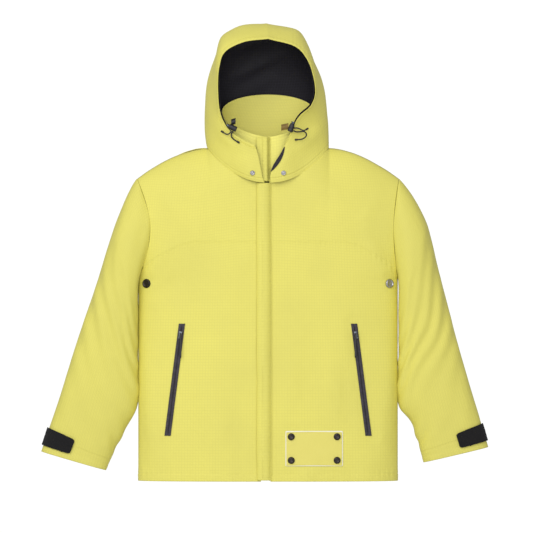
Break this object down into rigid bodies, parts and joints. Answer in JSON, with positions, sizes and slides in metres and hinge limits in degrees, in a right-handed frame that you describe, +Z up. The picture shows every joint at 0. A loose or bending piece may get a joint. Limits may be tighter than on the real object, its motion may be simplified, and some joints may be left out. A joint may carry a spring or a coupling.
{
  "type": "hardshell jacket",
  "caption": "Hooded hardshell jacket in its worn shape, with storm flap over the front zip, angled pocket zips, cuff tabs, snaps and hood drawcord locks",
  "frame": {"origin": "top of the hanger loop inside the back neck, from which the jacket hangs", "axes": "+Z up along the body, the front faces -Y, +X is the wearer's left"},
  "size_m": [1.0271, 0.1915, 1.0511],
  "materials": {
    "shell_fabric": "fine ripstop weave, matt with a faint sheen",
    "lining_fabric": "black ripstop, matt",
    "hook_and_loop": "short black pile",
    "zip_tape": "dark coated tape with stitching",
    "zip_plastic": "moulded, satin",
    "zip_metal": "black enamel, worn at the edges",
    "dark_snap": "gunmetal plating",
    "bright_snap": "nickel plating",
    "lock_plastic": "moulded, satin",
    "cord": "braided elastic cord"
  },
  "bodies": {
    "root": {"front_panel_right": "shell_fabric", "front_panel_left": "shell_fabric", "front_yoke_right": "shell_fabric", "front_yoke_left": "shell_fabric", "back_panel": "shell_fabric", "back_yoke": "shell_fabric", "chin_flap_right": "shell_fabric", "chin_flap_left": "shell_fabric", "stand_collar": "shell_fabric", "collar_placket": "shell_fabric", "hanger_loop": "shell_fabric", "label_patch": "shell_fabric", "pocket_bag_right": "lining_fabric", "pocket_bag_left": "lining_fabric", "zip_tape_right": "zip_tape", "zip_tape_left": "zip_tape", "pocket_zip_right": "zip_tape", "pocket_zip_left": "zip_tape", "zip_coil": "zip_plastic", "zip_insertion_box": "zip_metal", "chest_snap_right": "dark_snap", "label_rivet_upper_inner": "dark_snap", "label_rivet_upper_outer": "dark_snap", "label_rivet_lower_inner": "dark_snap", "label_rivet_lower_outer": "dark_snap", "chest_snap_left": "bright_snap", "collar_snap_right": "bright_snap", "collar_snap_left": "bright_snap", "cord_lock_right": "lock_plastic", "cord_lock_left": "lock_plastic", "drawcord_upper_right": "cord", "drawcord_upper_left": "cord", "drawcord_lower_right": "cord", "drawcord_lower_left": "cord", "cord_tip_upper_right": "lock_plastic", "cord_tip_upper_left": "lock_plastic", "cord_tip_lower_right": "lock_plastic", "cord_tip_lower_left": "lock_plastic"},
    "hood": {"hood_side_right": "shell_fabric", "hood_side_left": "shell_fabric", "hood_centre_panel": "shell_fabric", "hood_lining": "lining_fabric"},
    "sleeve_right_body": {"sleeve_right": "shell_fabric", "cuff_right": "shell_fabric", "cuff_loop_right": "hook_and_loop"},
    "sleeve_left_body": {"sleeve_left": "shell_fabric", "cuff_left": "shell_fabric", "cuff_loop_left": "hook_and_loop"},
    "cuff_tab_right_body": {"cuff_tab_right": "hook_and_loop"},
    "cuff_tab_left_body": {"cuff_tab_left": "hook_and_loop"},
    "flap": {"storm_flap": "shell_fabric"},
    "main_slider": {"zip_slider": "zip_metal", "zip_pull": "zip_plastic"},
    "pocket_slider_right_body": {"pocket_slider_right": "zip_metal"},
    "pocket_slider_left_body": {"pocket_slider_left": "zip_metal"},
    "pocket_pull_right_body": {"pocket_pull_right": "zip_plastic"},
    "pocket_pull_left_body": {"pocket_pull_left": "zip_plastic"},
    "lock_button_right": {"cord_lock_button_right": "lock_plastic"},
    "lock_button_left": {"cord_lock_button_left": "lock_plastic"}
  },
  "joints": [
    {"name": "hood_fold_back", "type": "hinge", "parent": "root", "child": "hood", "pos_m": [0, 0.0111, -0.0228], "axis": [-1, 0, 0], "range_deg": [0, 75]},
    {"name": "sleeve_right_lift", "type": "hinge", "parent": "root", "child": "sleeve_right_body", "pos_m": [-0.3025, -0.0414, -0.0808], "axis": [0, 1, 0], "range_deg": [0, 25]},
    {"name": "sleeve_left_lift", "type": "hinge", "parent": "root", "child": "sleeve_left_body", "pos_m": [0.3025, -0.0414, -0.0808], "axis": [0, -1, 0], "range_deg": [0, 25]},
    {"name": "storm_flap_open", "type": "hinge", "parent": "root", "child": "flap", "pos_m": [0.005, -0.1146, -0.775], "axis": [0, 0.0233, 0.9997], "range_deg": [0, 110]},
    {"name": "cuff_tab_right_peel", "type": "hinge", "parent": "sleeve_right_body", "child": "cuff_tab_right_body", "pos_m": [-0.51424, -0.0414, -0.67201], "axis": [-0.3119, 0, -0.9501], "range_deg": [0, 120]},
    {"name": "cuff_tab_left_peel", "type": "hinge", "parent": "sleeve_left_body", "child": "cuff_tab_left_body", "pos_m": [0.50044, -0.0414, -0.66236], "axis": [-0.2854, 0, 0.9584], "range_deg": [0, 120]},
    {"name": "main_zip", "type": "slide", "parent": "root", "child": "main_slider", "axis": [0, -0.0233, -0.9997], "range_m": [0, 0.69]},
    {"name": "pocket_zip_right_run", "type": "slide", "parent": "root", "child": "pocket_slider_right_body", "axis": [-0.1276, 0.0047, -0.9918], "range_m": [0, 0.2]},
    {"name": "pocket_zip_left_run", "type": "slide", "parent": "root", "child": "pocket_slider_left_body", "axis": [0.1276, 0.0047, -0.9918], "range_m": [0, 0.2]},
    {"name": "pocket_pull_right_swing", "type": "hinge", "parent": "pocket_slider_right_body", "child": "pocket_pull_right_body", "pos_m": [-0.20036, -0.10341, -0.43566], "axis": [-1, 0, 0], "range_deg": [0, 90]},
    {"name": "pocket_pull_left_swing", "type": "hinge", "parent": "pocket_slider_left_body", "child": "pocket_pull_left_body", "pos_m": [0.20036, -0.10341, -0.43566], "axis": [-1, 0, 0], "range_deg": [0, 90]},
    {"name": "lock_right_press", "type": "slide", "parent": "root", "child": "lock_button_right", "axis": [0.9042, 0, -0.4271], "range_m": [0, 0.003], "stiffness_N_per_m": 500},
    {"name": "lock_left_press", "type": "slide", "parent": "root", "child": "lock_button_left", "axis": [-0.303, 0, -0.953], "range_m": [0, 0.003], "stiffness_N_per_m": 500}
  ]
}
